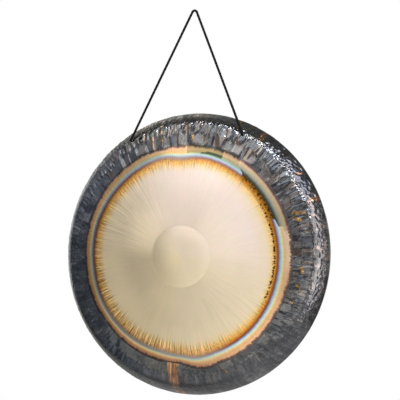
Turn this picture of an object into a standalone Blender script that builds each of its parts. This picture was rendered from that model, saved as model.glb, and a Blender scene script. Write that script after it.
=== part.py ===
"""A hanging planet gong: one turned sheet of nickel silver with a bossed face and a
hammered rim turned back to the rear, slung from a hook on a black cord.

Frame: metres, +Z up. The origin is where a hook carries the cord, on the inside of
its topmost bend. The gong hangs below it with its face to -Y, and its centre of mass
lies straight under the origin.
"""

import math

import bmesh
import bpy
import numpy as np
from mathutils import Matrix, Vector

# ---------------------------------------------------------------- dimensions

GONG_R = 0.355  # largest radius of the rim: a gong of 28 inches
SHEET = 0.0015  # thickness of the sheet
GONG_SIDES = 72  # facets round the gong

# The section of the sheet's front side, from the centre out: distance along the
# section over GONG_R, and how far the section has turned back from the face, in
# degrees. Past 90 degrees the rim tapers in again towards its rear edge.
SECTION = (
    (0.000, 0.0),
    (0.207, 7.0),  # edge of the raised boss
    (0.213, 3.0),  # start of the slightly domed face
    (0.450, 4.5),
    (0.715, 7.0),  # heat-tinted ring
    (0.800, 10.0),
    (0.870, 14.0),
    (0.920, 19.0),
    (0.940, 27.0),  # shoulder
    (0.965, 46.0),
    (0.985, 56.0),
    (1.010, 60.0),  # wall of the rim
    (1.060, 62.0),
    (1.085, 66.0),
    (1.100, 80.0),
    (1.108, 90.0),  # widest circle
    (1.118, 104.0),
    (1.130, 110.0),  # rolled in a little
    (1.145, 111.0),  # rear edge
)
# Where the turned profile has its points.
RINGS = (
    0.000, 0.100, 0.190, 0.207, 0.213, 0.350, 0.500, 0.650, 0.770, 0.840, 0.890,
    0.920, 0.936, 0.948, 0.960, 0.975, 0.995, 1.030, 1.070, 1.090, 1.101, 1.108,
    1.118, 1.130, 1.145,
)  # fmt: skip

CORD_D = 0.0046
CORD_R = CORD_D / 2
HOOK_R = 0.0042  # round hook that the bend lies on
HOLE_R = 0.0040  # the two drilled holes
GAP = 0.0003  # left between pieces that touch
PIVOT_OFF = 0.0034  # the cord's pivot point above the sheet, at the mouth of a hole

HOLE_HALF_ANGLE = math.radians(27.53)  # each hole from the middle of the pair
ROLL = math.radians(2.70)  # the pair sits this far to the left of the top
MEETING_HEIGHT = 1.7418 * GONG_R  # where the two legs' lines meet, over the centre
HINGE_DROP = 0.0070  # the legs swing about a line this far under the origin

KNOT_WIDE = 0.0140
KNOT_DEEP = 0.0116
TAIL_LENGTH = 0.0170


# ---------------------------------------------------------------- small tools


def monotone_cubic(xs, ys, x):
    """Values at x of a smooth curve through (xs, ys) that doesn't overshoot."""
    xs, ys, x = (np.asarray(v, float) for v in (xs, ys, x))
    h, slope = np.diff(xs), np.diff(ys) / np.diff(xs)
    d = np.zeros_like(ys)
    for i in range(1, len(xs) - 1):
        if slope[i - 1] * slope[i] > 0:
            w1, w2 = 2 * h[i] + h[i - 1], h[i] + 2 * h[i - 1]
            d[i] = (w1 + w2) / (w1 / slope[i - 1] + w2 / slope[i])
    d[0], d[-1] = slope[0], slope[-1]
    i = np.clip(np.searchsorted(xs, x, side="right") - 1, 0, len(xs) - 2)
    t = (x - xs[i]) / h[i]
    return (
        ys[i] * (1 + 2 * t) * (1 - t) ** 2
        + h[i] * d[i] * t * (1 - t) ** 2
        + ys[i + 1] * t * t * (3 - 2 * t)
        + h[i] * d[i + 1] * t * t * (t - 1)
    )


def gong_section(samples=4000):
    """Finely spaced (r, height, turn) along the sheet's front side, in metres and radians. Height is counted forwards from the widest circle."""
    s = np.linspace(0, SECTION[-1][0], samples)
    turn = np.radians(
        monotone_cubic([k[0] for k in SECTION], [k[1] for k in SECTION], s)
    )
    mid = (turn[1:] + turn[:-1]) / 2
    step = s[1] - s[0]
    r = np.concatenate([[0], np.cumsum(np.cos(mid)) * step])
    z = np.concatenate([[0], -np.cumsum(np.sin(mid)) * step])
    widest = int(np.argmax(r))
    scale = GONG_R / r[widest]
    return s, r * scale, (z - z[widest]) * scale, turn


S, SECTION_R, SECTION_Z, SECTION_TURN = gong_section()


def section_at(s):
    return tuple(
        float(np.interp(s, S, v)) for v in (SECTION_R, SECTION_Z, SECTION_TURN)
    )


def centre_of_mass_height():
    """Height of the sheet's centre of mass: that of its middle surface."""
    r = SECTION_R - np.sin(SECTION_TURN) * SHEET / 2
    z = SECTION_Z - np.cos(SECTION_TURN) * SHEET / 2
    area = (r[1:] + r[:-1]) / 2 * np.hypot(np.diff(r), np.diff(z))
    return float((area * (z[1:] + z[:-1]) / 2).sum() / area.sum())


def collection(name):
    found = bpy.data.collections.new(name)
    bpy.context.scene.collection.children.link(found)
    return found


def material(name, colour, roughness, metallic):
    m = bpy.data.materials.new(name)
    m.use_nodes = True
    shader = m.node_tree.nodes["Principled BSDF"]
    shader.inputs["Base Color"].default_value = (*colour, 1)
    shader.inputs["Roughness"].default_value = roughness
    shader.inputs["Metallic"].default_value = metallic
    m.diffuse_color = (*colour, 1)
    return m


def put(obj, where, parent=None):
    for c in list(obj.users_collection):
        c.objects.unlink(obj)
    where.objects.link(obj)
    if parent is not None:
        obj.parent = parent
    return obj


def smooth(mesh, degrees=40):
    mesh.shade_smooth()
    mesh.set_sharp_from_angle(angle=math.radians(degrees))


def turned(name, profile, sides, where):
    """A solid turned about local Z from (r, z) points that run from the axis at the top, down the outside, back to the axis."""
    mesh = bpy.data.meshes.new(name)
    bm = bmesh.new()
    points = [bm.verts.new((r, 0, z)) for r, z in profile]
    for a, b in zip(points, points[1:]):
        bm.edges.new((a, b))
    bm.to_mesh(mesh)
    bm.free()
    obj = bpy.data.objects.new(name, mesh)
    where.objects.link(obj)
    screw = obj.modifiers.new("turn", "SCREW")
    screw.axis = "Z"
    screw.angle = 2 * math.pi
    screw.steps = screw.render_steps = sides
    screw.use_merge_vertices = True
    screw.merge_threshold = 1e-6
    screw.use_smooth_shade = True
    return obj


def point_along(obj, start, towards):
    """Places obj with its origin at start and its local Z along towards, in its parent's space."""
    obj.rotation_mode = "QUATERNION"
    obj.rotation_quaternion = Vector(towards).to_track_quat("Z", "Y")
    obj.location = start


# ---------------------------------------------------------------- layout

# Depth: the centre of mass of the sheet is in the plane of the cord, so that the
# gong hangs upright.
WIDEST_Y = centre_of_mass_height()

# The holes are where the sheet is PIVOT_OFF behind the cord's plane, measured
# square to the sheet.
outer = S > 0.90
HOLE_S = float(
    np.interp(
        0.0,
        (
            WIDEST_Y - SECTION_Z - np.cos(SECTION_TURN) * PIVOT_OFF
        )[outer],
        S[outer],
    )
)
HOLE_SECTION_R, HOLE_SECTION_Z, HOLE_TURN = section_at(HOLE_S)
PIVOT_R = HOLE_SECTION_R + math.sin(HOLE_TURN) * PIVOT_OFF

# Seen from the front, in (x, z) about the gong's centre.
left_angle = -HOLE_HALF_ANGLE - ROLL
right_angle = HOLE_HALF_ANGLE - ROLL
pivot_left = Vector((PIVOT_R * math.sin(left_angle), PIVOT_R * math.cos(left_angle)))
pivot_right = Vector((PIVOT_R * math.sin(right_angle), PIVOT_R * math.cos(right_angle)))
meeting = Vector((0, MEETING_HEIGHT))
lean_left = math.atan2(-pivot_left.x, meeting.y - pivot_left.y)
lean_right = math.atan2(pivot_right.x, meeting.y - pivot_right.y)

# The bend is an arc round the hook, tangent to both legs.
half = (lean_left + lean_right) / 2
BEND_R = HOOK_R + CORD_R
down = Vector((-math.sin((lean_left - lean_right) / 2), -math.cos((lean_left - lean_right) / 2)))
bend_centre = Vector((0, -HOOK_R))
meeting_point = bend_centre - down * BEND_R / math.sin(half)
GONG_CENTRE = Vector((0, WIDEST_Y, meeting_point.y - MEETING_HEIGHT))
meeting_x = meeting_point.x  # a third of a millimetre off the centre line

PIVOT_LEFT = Vector((pivot_left.x, 0, GONG_CENTRE.z + pivot_left.y))
PIVOT_RIGHT = Vector((pivot_right.x, 0, GONG_CENTRE.z + pivot_right.y))
MEETING = Vector((meeting_x, 0, meeting_point.y))


def on_leg(foot, z):
    """The point of the leg from MEETING to foot that is at height z."""
    t = (MEETING.z - z) / (MEETING.z - foot.z)
    return MEETING.lerp(foot, t)


HEAD_LEFT = on_leg(PIVOT_LEFT, -HINGE_DROP)
HEAD_RIGHT = on_leg(PIVOT_RIGHT, -HINGE_DROP)


# ---------------------------------------------------------------- scene

for obj in list(bpy.data.objects):
    bpy.data.objects.remove(obj, do_unlink=True)

parts = collection("planet_gong")
cutters = collection("cutters")

metal = material("gong_metal", (0.72, 0.64, 0.50), 0.30, 1.0)
cord = material("cord_black", (0.012, 0.012, 0.013), 0.85, 0.0)

# The hook's line, about which the whole sling swings, and the line through the two
# holes, about which the gong rocks on its cord.
hook_axis = bpy.data.objects.new("hook_axis", None)
parts.objects.link(hook_axis)
hook_axis.empty_display_size = 0.03
hook_axis.location = (0, 0, -HINGE_DROP)

hole_axis = bpy.data.objects.new("hole_axis", None)
parts.objects.link(hole_axis)
hole_axis.empty_display_size = 0.03
hole_axis.location = (PIVOT_LEFT + PIVOT_RIGHT) / 2
axis = (PIVOT_RIGHT - PIVOT_LEFT).normalized()
hole_axis.rotation_euler = (0, -math.atan2(axis.z, axis.x), 0)
bpy.context.view_layer.update()


# ---------------------------------------------------------------- gong plate

front = [section_at(s) for s in RINGS]
profile = [(r, z) for r, z, _ in front]
rear = [
    (r - math.sin(turn) * SHEET, z - math.cos(turn) * SHEET) for r, z, turn in front
]
rear[0] = (0.0, rear[0][1])
# The rear edge is cut flat, in one plane.
inner_r, inner_z = rear[-1]
run = (front[-1][1] - rear[-2][1]) / (inner_z - rear[-2][1])
rear[-1] = (rear[-2][0] + (inner_r - rear[-2][0]) * run, front[-1][1])
profile += rear[::-1]

gong = turned("gong_plate", profile, GONG_SIDES, parts)
gong.data.materials.append(metal)
gong.parent = hole_axis
gong_frame = (
    Matrix.Translation(GONG_CENTRE)
    @ Matrix.Rotation(-ROLL, 4, "Y")
    @ Matrix.Rotation(math.pi / 2, 4, "X")
)
gong.matrix_parent_inverse = Matrix.Identity(4)
local = hole_axis.matrix_world.inverted() @ gong_frame
gong.location = local.to_translation()
gong.rotation_euler = local.to_euler()

# In the gong's own frame its axis is Z and its top is Y: local azimuths are counted
# from the top towards +X.
for side, angle in (("left", -HOLE_HALF_ANGLE), ("right", HOLE_HALF_ANGLE)):
    outwards = Vector(
        (
            math.sin(HOLE_TURN) * math.sin(angle),
            math.sin(HOLE_TURN) * math.cos(angle),
            math.cos(HOLE_TURN),
        )
    )
    mouth = Vector(
        (
            HOLE_SECTION_R * math.sin(angle),
            HOLE_SECTION_R * math.cos(angle),
            HOLE_SECTION_Z,
        )
    )
    mesh = bpy.data.meshes.new(f"drill_{side}")
    bm = bmesh.new()
    bmesh.ops.create_cone(
        bm, cap_ends=True, segments=20, radius1=HOLE_R, radius2=HOLE_R, depth=0.012
    )
    bm.to_mesh(mesh)
    bm.free()
    drill = bpy.data.objects.new(f"drill_{side}", mesh)
    cutters.objects.link(drill)
    drill.hide_render = True
    drill.display_type = "WIRE"
    drill.parent = gong
    point_along(drill, mouth, outwards)
    cut = gong.modifiers.new(f"hole_{side}", "BOOLEAN")
    cut.operation = "DIFFERENCE"
    cut.solver = "EXACT"
    cut.object = drill


# ---------------------------------------------------------------- cord


def tube(name, points, where):
    curve = bpy.data.curves.new(name, "CURVE")
    curve.dimensions = "3D"
    curve.bevel_depth = CORD_R
    curve.bevel_resolution = 4
    curve.use_fill_caps = True
    curve.twist_mode = "Z_UP"
    spline = curve.splines.new("POLY")
    spline.points.add(len(points) - 1)
    for p, q in zip(spline.points, points):
        p.co = (*q, 1)
    spline.use_smooth = True
    obj = bpy.data.objects.new(name, curve)
    where.objects.link(obj)
    return obj


# The bend over the hook, down to just above the line that the legs swing about.
arc = []
start, end = -math.pi / 2 + lean_left, math.pi / 2 - lean_right
for i in range(15):
    a = start + (end - start) * i / 14
    arc.append(
        Vector((bend_centre.x + BEND_R * math.sin(a), 0, bend_centre.y + BEND_R * math.cos(a)))
    )
down_left = (PIVOT_LEFT - MEETING).normalized()
down_right = (PIVOT_RIGHT - MEETING).normalized()
first = HEAD_LEFT - down_left * (CORD_R + GAP)
last = HEAD_RIGHT - down_right * (CORD_R + GAP)
bight = tube("cord_bight", [first, *arc, last], parts)
bight.data.materials.append(cord)

# The two straight legs. Each ends in half a ball centred on the line it turns about.
for side, head, foot in (
    ("left", HEAD_LEFT, PIVOT_LEFT),
    ("right", HEAD_RIGHT, PIVOT_RIGHT),
):
    length = (foot - head).length
    steps = 4
    capsule = [
        (
            CORD_R * math.sin(math.pi / 2 * i / steps),
            length + CORD_R * math.cos(math.pi / 2 * i / steps),
        )
        for i in range(steps + 1)
    ]
    # Cross rings along the straight run, so that the long faces stay well shaped.
    capsule += [(CORD_R, length * (1 - i / 6)) for i in range(1, 6)]
    capsule += [
        (
            CORD_R * math.cos(math.pi / 2 * i / steps),
            -CORD_R * math.sin(math.pi / 2 * i / steps),
        )
        for i in range(steps + 1)
    ]
    capsule[0] = (0.0, capsule[0][1])
    capsule[-1] = (0.0, capsule[-1][1])
    leg = turned(f"cord_leg_{side}", capsule, 12, parts)
    leg.data.materials.append(cord)
    leg.parent = hook_axis
    # Local Z runs up the leg from its foot, and the origin is on the hook's line.
    up = (head - foot).normalized()
    for v in leg.data.vertices:
        v.co.z -= length
    point_along(leg, head - hook_axis.location, up)

# A stopper knot inside the rim at each hole: its stretch of cord through the hole,
# the knot itself, and a short tail that hangs down behind the sheet.
for side, angle in (("left", -HOLE_HALF_ANGLE), ("right", HOLE_HALF_ANGLE)):
    # Just proud of the sheet, so that the leg clears it as the gong rocks back.
    stub_top = PIVOT_OFF - CORD_R - 0.0009
    knot_top = -SHEET - GAP - 0.0002  # the knot bears on the rear of the sheet
    knot_mid = knot_top - KNOT_DEEP / 2
    mesh = bpy.data.meshes.new(f"cord_knot_{side}")
    bm = bmesh.new()
    bmesh.ops.create_uvsphere(bm, u_segments=20, v_segments=12, radius=0.5)
    for v in bm.verts:
        v.co = Vector((v.co.x * KNOT_WIDE, v.co.y * KNOT_WIDE, v.co.z * KNOT_DEEP + knot_mid))
    bm.to_mesh(mesh)
    bm.free()
    knot = bpy.data.objects.new(f"cord_knot_{side}", mesh)
    parts.objects.link(knot)
    knot.parent = hole_axis
    outwards = Vector(
        (
            math.sin(HOLE_TURN) * math.sin(angle - ROLL),
            -math.cos(HOLE_TURN),
            math.sin(HOLE_TURN) * math.cos(angle - ROLL),
        )
    )
    pivot = PIVOT_LEFT if side == "left" else PIVOT_RIGHT
    mouth = pivot - outwards * PIVOT_OFF
    to_axis = hole_axis.matrix_world.inverted()
    point_along(knot, to_axis @ mouth, to_axis.to_3x3() @ outwards)

    pieces = []
    for what, base, tip in (
        ("stub", Vector((0, 0, knot_mid)), Vector((0, 0, stub_top))),
        ("tail", None, None),
    ):
        m = bpy.data.meshes.new(f"{what}_{side}")
        bm = bmesh.new()
        if what == "tail":
            # Straight down in the world, from the middle of the knot.
            knot_world = hole_axis.matrix_world @ Matrix.LocRotScale(
                knot.location, knot.rotation_quaternion, None
            )
            hang = knot_world.to_3x3().inverted() @ Vector((0, 0.25, -1)).normalized()
            base = Vector((0, 0, knot_mid))
            tip = base + hang * (KNOT_WIDE / 2 + TAIL_LENGTH)
        bmesh.ops.create_cone(
            bm,
            cap_ends=True,
            segments=12,
            radius1=CORD_R,
            radius2=CORD_R,
            depth=(tip - base).length,
        )
        bm.to_mesh(m)
        bm.free()
        piece = bpy.data.objects.new(f"{what}_{side}", m)
        cutters.objects.link(piece)
        piece.hide_render = True
        piece.display_type = "WIRE"
        piece.parent = knot
        point_along(piece, (base + tip) / 2, tip - base)
        join = knot.modifiers.new(what, "BOOLEAN")
        join.operation = "UNION"
        join.solver = "EXACT"
        join.object = piece
    mesh.materials.append(cord)
    smooth(mesh)

bpy.context.view_layer.update()
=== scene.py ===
"""Looks of a hanging planet gong: a nickel-silver sheet with a brushed champagne face, a
heat-tinted ring and a dark, lacquered, hammered rim, on a black braided cord."""

import math

import bmesh
import bpy
import numpy as np
from mathutils import Matrix, Vector
from mathutils.kdtree import KDTree


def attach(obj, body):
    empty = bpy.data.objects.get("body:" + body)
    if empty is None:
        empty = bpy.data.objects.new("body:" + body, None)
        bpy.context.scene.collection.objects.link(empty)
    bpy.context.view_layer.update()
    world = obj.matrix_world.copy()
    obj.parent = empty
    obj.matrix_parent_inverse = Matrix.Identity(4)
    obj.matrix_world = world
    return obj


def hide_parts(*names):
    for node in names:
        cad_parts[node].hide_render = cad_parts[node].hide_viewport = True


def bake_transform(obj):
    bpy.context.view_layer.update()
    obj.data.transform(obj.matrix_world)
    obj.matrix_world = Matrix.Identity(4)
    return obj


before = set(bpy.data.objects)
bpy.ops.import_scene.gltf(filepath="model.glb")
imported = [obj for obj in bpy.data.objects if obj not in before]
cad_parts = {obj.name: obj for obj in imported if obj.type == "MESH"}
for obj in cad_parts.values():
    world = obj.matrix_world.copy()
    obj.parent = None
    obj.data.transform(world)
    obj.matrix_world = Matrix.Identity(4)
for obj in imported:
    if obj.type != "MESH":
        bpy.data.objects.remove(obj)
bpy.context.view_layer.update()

# ---------------------------------------------------------------- shape, as in the CAD

GONG_R = 0.355
SHEET = 0.0015
SECTION = (
    (0.000, 0.0), (0.207, 7.0), (0.213, 3.0), (0.450, 4.5), (0.715, 7.0),
    (0.800, 10.0), (0.870, 14.0), (0.920, 19.0), (0.940, 27.0), (0.965, 46.0),
    (0.985, 56.0), (1.010, 60.0), (1.060, 62.0), (1.085, 66.0), (1.100, 80.0),
    (1.108, 90.0), (1.118, 104.0), (1.130, 110.0), (1.145, 111.0),
)  # fmt: skip
CORD_D = 0.0046
CORD_R = CORD_D / 2
HOOK_R = 0.0042
HOLE_R = 0.0040
PIVOT_OFF = 0.0034
HOLE_HALF_ANGLE = math.radians(27.53)
ROLL = math.radians(2.70)
MEETING_HEIGHT = 1.7418 * GONG_R


def monotone_cubic(xs, ys, x):
    """Values at x of a smooth curve through (xs, ys) that doesn't overshoot."""
    xs, ys, x = (np.asarray(v, float) for v in (xs, ys, x))
    h, slope = np.diff(xs), np.diff(ys) / np.diff(xs)
    d = np.zeros_like(ys)
    for i in range(1, len(xs) - 1):
        if slope[i - 1] * slope[i] > 0:
            w1, w2 = 2 * h[i] + h[i - 1], h[i] + 2 * h[i - 1]
            d[i] = (w1 + w2) / (w1 / slope[i - 1] + w2 / slope[i])
    d[0], d[-1] = slope[0], slope[-1]
    i = np.clip(np.searchsorted(xs, x, side="right") - 1, 0, len(xs) - 2)
    t = (x - xs[i]) / h[i]
    return (
        ys[i] * (1 + 2 * t) * (1 - t) ** 2
        + h[i] * d[i] * t * (1 - t) ** 2
        + ys[i + 1] * t * t * (3 - 2 * t)
        + h[i] * d[i + 1] * t * t * (t - 1)
    )


def gong_section(section, samples=4000):
    s = np.linspace(0, section[-1][0], samples)
    turn = np.radians(
        monotone_cubic([k[0] for k in section], [k[1] for k in section], s)
    )
    mid = (turn[1:] + turn[:-1]) / 2
    step = s[1] - s[0]
    r = np.concatenate([[0], np.cumsum(np.cos(mid)) * step])
    z = np.concatenate([[0], -np.cumsum(np.sin(mid)) * step])
    widest = int(np.argmax(r))
    scale = GONG_R / r[widest]
    return s, r * scale, (z - z[widest]) * scale, turn


S, SECTION_R, SECTION_Z, SECTION_TURN = gong_section(SECTION)


def centre_of_mass_height():
    r = SECTION_R - np.sin(SECTION_TURN) * SHEET / 2
    z = SECTION_Z - np.cos(SECTION_TURN) * SHEET / 2
    area = (r[1:] + r[:-1]) / 2 * np.hypot(np.diff(r), np.diff(z))
    return float((area * (z[1:] + z[:-1]) / 2).sum() / area.sum())


WIDEST_Y = centre_of_mass_height()
outer = S > 0.90
HOLE_S = float(
    np.interp(
        0.0,
        (WIDEST_Y - SECTION_Z - np.cos(SECTION_TURN) * PIVOT_OFF)[outer],
        S[outer],
    )
)
HOLE_R_AT, HOLE_Z_AT, HOLE_TURN = (
    float(np.interp(HOLE_S, S, v)) for v in (SECTION_R, SECTION_Z, SECTION_TURN)
)
PIVOT_R = HOLE_R_AT + math.sin(HOLE_TURN) * PIVOT_OFF
left_angle, right_angle = -HOLE_HALF_ANGLE - ROLL, HOLE_HALF_ANGLE - ROLL
pivot_left = Vector((PIVOT_R * math.sin(left_angle), PIVOT_R * math.cos(left_angle)))
pivot_right = Vector((PIVOT_R * math.sin(right_angle), PIVOT_R * math.cos(right_angle)))
meeting = Vector((0, MEETING_HEIGHT))
lean_left = math.atan2(-pivot_left.x, meeting.y - pivot_left.y)
lean_right = math.atan2(pivot_right.x, meeting.y - pivot_right.y)
half = (lean_left + lean_right) / 2
BEND_R = HOOK_R + CORD_R
tilt = (lean_left - lean_right) / 2
down = Vector((-math.sin(tilt), -math.cos(tilt)))
bend_centre = Vector((0, -HOOK_R))
meeting_point = bend_centre - down * BEND_R / math.sin(half)
GONG_CENTRE = Vector((0, WIDEST_Y, meeting_point.y - MEETING_HEIGHT))
PIVOT_LEFT = Vector((pivot_left.x, 0, GONG_CENTRE.z + pivot_left.y))
PIVOT_RIGHT = Vector((pivot_right.x, 0, GONG_CENTRE.z + pivot_right.y))
MEETING = Vector((meeting_point.x, 0, meeting_point.y))
# The gong's own frame: Z is its axis, towards the front, and Y is straight up.
GONG_FRAME = Matrix.Translation(GONG_CENTRE) @ Matrix.Rotation(math.pi / 2, 4, "X")

# ---------------------------------------------------------------- camera

scene = bpy.context.scene
az, el, roll = math.radians(21.37), math.radians(-2.85), math.radians(1.71)
back = Vector((math.sin(az) * math.cos(el), -math.cos(az) * math.cos(el), math.sin(el)))
right = Vector((math.cos(az), math.sin(az), 0))
up = back.cross(right)
right2 = right * math.cos(roll) + up * math.sin(roll)
up2 = -right * math.sin(roll) + up * math.cos(roll)
distance = 10 * GONG_R
position = (
    GONG_CENTRE + back * distance - right2 * (-0.0360 * GONG_R) - up2 * (-0.3797 * GONG_R)
)
camera_data = bpy.data.cameras.new("camera")
camera_data.sensor_width = 36
camera_data.lens = 140.45 * 10 / 400 * 36
camera = bpy.data.objects.new("camera", camera_data)
scene.collection.objects.link(camera)
turn = Matrix((right2, up2, back)).transposed().to_4x4()
camera.matrix_world = Matrix.Translation(position) @ turn
scene.camera = camera
scene.view_settings.view_transform = "Standard"

# ---------------------------------------------------------------- material tools


class Nodes:
    """A short way to wire a material's nodes."""

    def __init__(self, name):
        self.material = bpy.data.materials.new(name)
        self.material.use_nodes = True
        self.tree = self.material.node_tree
        self.shader = self.tree.nodes["Principled BSDF"]

    def put(self, where, value):
        if hasattr(value, "is_output") or isinstance(value, bpy.types.NodeSocket):
            self.tree.links.new(value, where)
        else:
            where.default_value = value

    def node(self, kind, inputs=(), **settings):
        n = self.tree.nodes.new(kind)
        for key, value in settings.items():
            setattr(n, key, value)
        for key, value in dict(inputs).items():
            self.put(n.inputs[key], value)
        return n

    def math(self, operation, a, b=None, c=None, clamp=False):
        n = self.node("ShaderNodeMath", operation=operation, use_clamp=clamp)
        for i, value in enumerate((a, b, c)):
            if value is not None:
                self.put(n.inputs[i], value)
        return n.outputs[0]

    def noise(self, vector, scale, detail=2.0, roughness=0.5):
        n = self.node(
            "ShaderNodeTexNoise",
            {"Vector": vector, "Scale": scale, "Detail": detail, "Roughness": roughness},
        )
        return n.outputs["Fac"]

    def ramp(self, value, stops, interpolation="LINEAR"):
        n = self.node("ShaderNodeValToRGB", {"Fac": value})
        ramp = n.color_ramp
        ramp.interpolation = interpolation
        while len(ramp.elements) > 1:
            ramp.elements.remove(ramp.elements[-1])
        ramp.elements[0].position = stops[0][0]
        ramp.elements[0].color = (*stops[0][1], 1)
        for position_, colour in stops[1:]:
            e = ramp.elements.new(position_)
            e.color = (*colour, 1)
        return n.outputs["Color"]

    def mix(self, factor, a, b, blend_type="MIX"):
        n = self.node("ShaderNodeMix", data_type="RGBA", blend_type=blend_type)
        self.put(n.inputs["Factor"], factor)
        for socket, value in ((n.inputs[6], a), (n.inputs[7], b)):
            self.put(socket, (*value, 1) if isinstance(value, tuple) else value)
        return n.outputs[2]


def srgb(r, g, b):
    """A colour given as 0 to 255 on the screen, as linear values."""
    return tuple(
        (c / 255 / 12.92) if c / 255 <= 0.04045 else ((c / 255 + 0.055) / 1.055) ** 2.4
        for c in (r, g, b)
    )


# ---------------------------------------------------------------- the sheet's surface

# The boss is flat in the middle and turns down at its edge.
BOSS = ((0.0, 0.0), (0.127, 1.1), (0.175, 3.2), (0.215, 8.6), (0.227, 3.1))
SURFACE = gong_section(BOSS + SECTION[3:])[1:]


def smoothstep(low, high, x):
    t = np.clip((x - low) / (high - low), 0, 1)
    return t * t * (3 - 2 * t)


def round_the_gong(stops, soften=3.0):
    """A smooth function of the azimuth in degrees, through (azimuth, value) stops."""
    at = np.arange(720) * 0.5 - 180
    value = np.interp(at, [p[0] for p in stops], [p[1] for p in stops], period=360)
    kernel = np.exp(-0.5 * (np.arange(-40, 41) * 0.5 / soften) ** 2)
    kernel /= kernel.sum()
    value = np.convolve(np.concatenate([value[-40:], value, value[:40]]), kernel, "valid")
    return lambda degrees: np.interp(degrees, at, value, period=360)


def apart(a, b):
    """Degrees from azimuth b to azimuth a, from -180 to 180."""
    return (a - b + 180) % 360 - 180


# The tinted ring: where its blue line runs, where its outer edge is, and how far
# inside the blue line its dark line and its fade into the face are.
blue_line = round_the_gong(
    [(-180, 0.722), (-165, 0.714), (-150, 0.723), (-120, 0.726), (-95, 0.724),
     (-75, 0.733), (-45, 0.731), (-22, 0.736), (-15, 0.734), (-12, 0.729), (-9, 0.719),
     (-6, 0.710), (-3, 0.706), (0, 0.711), (4, 0.717), (11, 0.724), (30, 0.719), (50, 0.716), (75, 0.719), (100, 0.722), (115, 0.729),
     (135, 0.735), (160, 0.734), (171, 0.741), (177, 0.728)], 1.6,
)  # fmt: skip
outer_edge = round_the_gong(
    [(-180, 0.762), (-150, 0.770), (-120, 0.776), (-100, 0.775), (-80, 0.784),
     (-60, 0.788), (-40, 0.789), (-28, 0.794), (-16, 0.782), (-5, 0.777), (10, 0.783),
     (25, 0.790), (50, 0.785), (70, 0.790), (90, 0.792), (120, 0.791), (145, 0.795),
     (160, 0.796), (169, 0.805), (176, 0.783)], 1.6,
)  # fmt: skip
dark_line = round_the_gong([(-150, 0.014), (-90, 0.015), (-40, 0.018), (10, 0.021), (110, 0.023), (150, 0.018), (172, 0.012)])
fade_out = round_the_gong([(-170, 0.078), (-130, 0.084), (-90, 0.070), (-40, 0.080), (10, 0.074), (60, 0.060), (90, 0.056), (120, 0.060), (150, 0.078)])
# How far its inner side breaks up into streaks.
streaks = round_the_gong([(-180, 1.0), (-120, 1.0), (-60, 0.9), (-20, 0.8), (20, 0.6), (60, 0.5), (110, 0.45), (150, 0.8)], 8.0)
# Painted reflections: soft lighter and darker lobes over the face, near the boss and further out, painted for the
# brushed metal's reflection of the lights.
near_painted_fans = round_the_gong([(-180, -0.14), (-150, -0.145), (-130, -0.21), (-112, -0.26), (-95, -0.27), (-86, -0.17), (-77, -0.03), (-66, 0.02), (-52, 0.02), (-40, 0.0), (-20, -0.02), (4, -0.02), (22, -0.05), (32, 0.01), (88, 0.01), (97, -0.05), (120, -0.05), (150, -0.145), (165, -0.15)], 1.8)
far_painted_fans = round_the_gong([(-180, -0.165), (-150, -0.17), (-125, -0.045), (-100, -0.08), (-85, -0.16), (-70, -0.18), (-55, -0.18), (-40, -0.165), (-28, -0.10), (-15, -0.03), (0, 0.03), (20, 0.04), (40, -0.03), (88, -0.04), (97, -0.07), (120, -0.095), (150, -0.155), (165, -0.155)], 1.8)
# Painted shade along the edge of the boss.
boss_edge_shade = round_the_gong([(-180, -0.10), (-150, -0.09), (-120, -0.06), (-90, -0.14), (-60, -0.18), (-30, -0.16), (-10, -0.11), (10, -0.10), (30, -0.11), (55, -0.05), (90, -0.03), (120, -0.07), (150, -0.15)], 5.0)
# The boss falls away from the light on its left, and towards it on its right.
boss_side = round_the_gong([(-180, -0.01), (-150, -0.09), (-120, -0.18), (-90, -0.22), (-70, -0.18), (-55, -0.12), (-30, -0.02), (0, 0.08), (25, 0.08), (42, 0.04), (62, -0.02), (90, -0.035), (120, -0.02), (150, -0.02)], 6.0)
# How dull the ring's outer band is, how brown the ring is on the left, how far its dark
# line is washed out at the bottom, and how amber its inner side is on the right.
dull = round_the_gong([(-180, 0.3), (-150, 0.1), (-110, 0.4), (-75, 0.1), (-50, 0.4), (-25, 0.8), (-17, 0.7), (-13, 0.15), (0, 0.15), (4, 0.5), (20, 0.9), (28, 1.0), (45, 0.6), (66, 0.1), (80, 0.0), (150, 0.0), (168, 0.3)], 1.6)
brown = round_the_gong([(-180, 0.5), (-150, 0.9), (-140, 1.0), (-75, 1.0), (-45, 0.55), (-18, 0.35), (-15, 0.0), (150, 0.0), (168, 0.3)], 1.0)
washed = round_the_gong([(-180, 0.9), (-165, 0.9), (-150, 0.65), (-125, 0.35), (-112, 0.0), (-35, 0.1), (-20, 0.5), (-13, 0.75), (-2, 0.7), (6, 0.4), (32, 0.25), (45, 0.0), (148, 0.0), (160, 0.45), (170, 0.8)], 2.0)
amber_side = round_the_gong([(20, 0.0), (35, 0.3), (50, 0.7), (60, 0.95), (76, 0.85), (88, 0.5), (100, 0.15), (120, 0.05), (140, 0.0)], 2.5)
# How hard the rim was hammered.
hammered = round_the_gong([(-180, 0.45), (-110, 0.36), (-75, 0.30), (-58, 0.50), (-42, 1.2), (-25, 1.65), (40, 1.55), (60, 1.15), (90, 0.68), (115, 0.45), (165, 0.42)], 6.0)


def face_shift(s):
    """The face and its ring sit a little low and to one side inside the rim, and the boss a little more so."""
    f, g = 1 - smoothstep(0.80, 0.93, s), 1 - smoothstep(0.235, 0.55, s)
    return -(0.0053 * f + 0.0112 * g) * GONG_R, -(0.0170 * f + 0.0102 * g) * GONG_R


rng = np.random.default_rng(28)


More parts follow.
